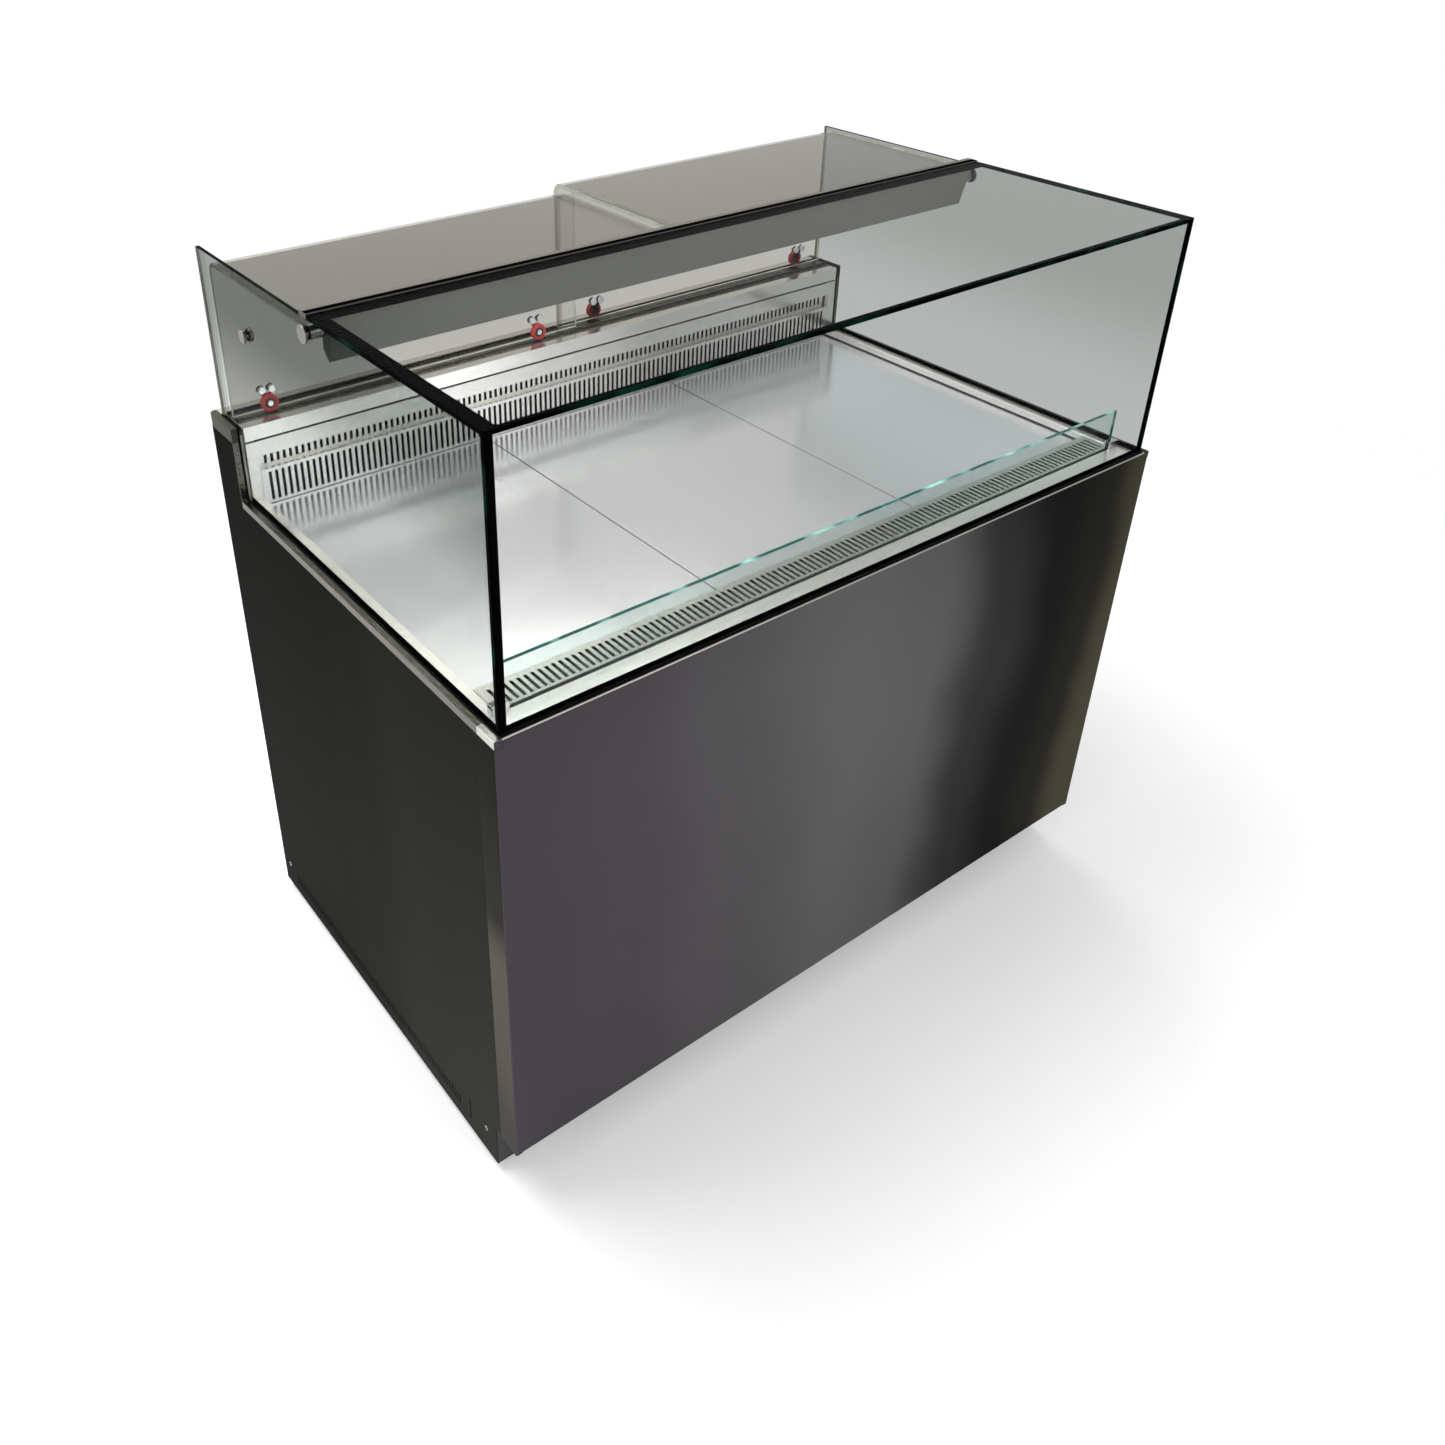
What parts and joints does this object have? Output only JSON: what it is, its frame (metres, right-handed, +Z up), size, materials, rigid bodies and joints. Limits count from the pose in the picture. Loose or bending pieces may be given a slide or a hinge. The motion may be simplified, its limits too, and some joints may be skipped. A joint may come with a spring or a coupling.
{
  "type": "refrigerated glass display counter",
  "caption": "Refrigerated serve-over display counter with a glass case on an insulated metal base and overlapping L-shaped glass doors that roll sideways along the rear ledge.",
  "frame": {"origin": "centre of the footprint on the floor", "axes": "+Z up, -Y towards the customer front, +X to the right seen from the front"},
  "size_m": [1.3, 0.823, 1.28],
  "materials": {
    "titanium_paint": "satin powder coat",
    "side_paint": "semi-gloss powder coat",
    "black_steel": "black powder coat",
    "rear_paint": "grey powder coat",
    "beam_paint": "bronze grey satin",
    "lamp_paint": "grey satin",
    "trim_steel": "satin stainless",
    "bright_steel": "bright rolled stainless",
    "liner_steel": "rolled stainless",
    "galvanised": "zinc coated",
    "frame_paint": "grey powder coat",
    "foam": "rigid foam",
    "pane": "clear float glass",
    "silicone": "black silicone",
    "chromed": "polished chrome plate",
    "red_urethane": "red polyurethane",
    "fin_aluminium": "mill finish",
    "copper_tube": "bare copper",
    "black_plastic": "moulded black",
    "fan_plastic": "moulded dark",
    "diffuser": "opal white",
    "red_plastic": "moulded red",
    "shell_paint": "gloss black"
  },
  "bodies": {
    "cabinet": {"base_frame": "frame_paint", "levelling_feet": "black_plastic", "kick_plate": "black_steel", "front_panel": "titanium_paint", "side_panel_left": "side_paint", "side_panel_right": "side_paint", "rear_skin": "rear_paint", "service_grille": "rear_paint", "side_trims": "trim_steel", "trim_caps": "trim_steel", "insulated_tub": "foam", "tub_liner": "liner_steel", "deck_bearers": "galvanised", "deck_panel_left": "bright_steel", "deck_panel_centre": "bright_steel", "deck_panel_right": "bright_steel", "side_ledges": "bright_steel", "front_ledge": "bright_steel", "return_grille": "bright_steel", "riser_glass": "pane", "riser_clips": "bright_steel", "duct_plate": "bright_steel", "ledge_nosing": "trim_steel", "ledge_cover": "bright_steel", "door_track": "galvanised", "fan_plate": "galvanised", "evaporator_coil": "fin_aluminium", "evap_fan_motors": "black_steel", "side_glass_left": "pane", "side_glass_right": "pane", "front_glass": "pane", "top_glass": "pane", "glass_beads": "silicone", "canopy_beam": "beam_paint", "lamp_housing": "lamp_paint", "led_lamp": "diffuser", "glass_fixings": "chromed", "unit_base": "black_steel", "compressor": "shell_paint", "condenser_coil": "black_steel", "fan_shroud": "black_steel", "refrigerant_pipes": "copper_tube", "condensate_tray": "black_plastic", "control_panel": "black_plastic", "controller": "black_plastic", "mains_inlet": "black_plastic"},
    "door_left": {"door_glass_left": "pane", "door_hardware_left": "chromed"},
    "door_right": {"door_glass_right": "pane", "door_hardware_right": "chromed"},
    "wheel_left_outer": {"roller_left_outer": "red_urethane"},
    "wheel_left_inner": {"roller_left_inner": "red_urethane"},
    "wheel_right_inner": {"roller_right_inner": "red_urethane"},
    "wheel_right_outer": {"roller_right_outer": "red_urethane"},
    "fan_left": {"evap_fan_left": "fan_plastic"},
    "fan_centre": {"evap_fan_centre": "fan_plastic"},
    "fan_right": {"evap_fan_right": "fan_plastic"},
    "fan_condenser": {"condenser_fan": "fin_aluminium"},
    "rocker_power": {"power_rocker": "red_plastic"},
    "rocker_light": {"light_rocker": "red_plastic"}
  },
  "joints": [
    {"name": "door_left_slide", "type": "slide", "parent": "cabinet", "child": "door_left", "axis": [1, 0, 0], "range_m": [0, 0.6]},
    {"name": "door_right_slide", "type": "slide", "parent": "cabinet", "child": "door_right", "axis": [-1, 0, 0], "range_m": [0, 0.6]},
    {"name": "wheel_left_outer_spin", "type": "hinge", "parent": "door_left", "child": "wheel_left_outer", "pos_m": [-0.572, 0.3507, 1.0208], "axis": [0, 1, 0], "range_deg": [-20, 3100]},
    {"name": "wheel_left_inner_spin", "type": "hinge", "parent": "door_left", "child": "wheel_left_inner", "pos_m": [-0.071, 0.3507, 1.0208], "axis": [0, 1, 0], "range_deg": [-20, 3100]},
    {"name": "wheel_right_inner_spin", "type": "hinge", "parent": "door_right", "child": "wheel_right_inner", "pos_m": [0.071, 0.3823, 1.0208], "axis": [0, -1, 0], "range_deg": [-20, 3100]},
    {"name": "wheel_right_outer_spin", "type": "hinge", "parent": "door_right", "child": "wheel_right_outer", "pos_m": [0.572, 0.3823, 1.0208], "axis": [0, -1, 0], "range_deg": [-20, 3100]},
    {"name": "fan_left_spin", "type": "hinge", "parent": "cabinet", "child": "fan_left", "pos_m": [-0.38068, 0.1087, 0.71], "axis": [0, 1, 0], "continuous": true},
    {"name": "fan_centre_spin", "type": "hinge", "parent": "cabinet", "child": "fan_centre", "pos_m": [0, 0.1087, 0.71], "axis": [0, 1, 0], "continuous": true},
    {"name": "fan_right_spin", "type": "hinge", "parent": "cabinet", "child": "fan_right", "pos_m": [0.38068, 0.1087, 0.71], "axis": [0, 1, 0], "continuous": true},
    {"name": "fan_condenser_spin", "type": "hinge", "parent": "cabinet", "child": "fan_condenser", "pos_m": [0.06, 0.2595, 0.24], "axis": [0, 1, 0], "continuous": true},
    {"name": "rocker_power_tilt", "type": "hinge", "parent": "cabinet", "child": "rocker_power", "pos_m": [0.506, 0.401, 0.474], "axis": [1, 0, 0], "range_deg": [-16, 0]},
    {"name": "rocker_light_tilt", "type": "hinge", "parent": "cabinet", "child": "rocker_light", "pos_m": [0.488, 0.401, 0.474], "axis": [1, 0, 0], "range_deg": [-16, 0]}
  ],
  "couplings": [
    {"joint": "wheel_left_outer_spin", "follows": "door_left_slide", "rad_per_m": 88.496},
    {"joint": "wheel_left_inner_spin", "follows": "door_left_slide", "rad_per_m": 88.496},
    {"joint": "wheel_right_inner_spin", "follows": "door_right_slide", "rad_per_m": 88.496},
    {"joint": "wheel_right_outer_spin", "follows": "door_right_slide", "rad_per_m": 88.496}
  ]
}
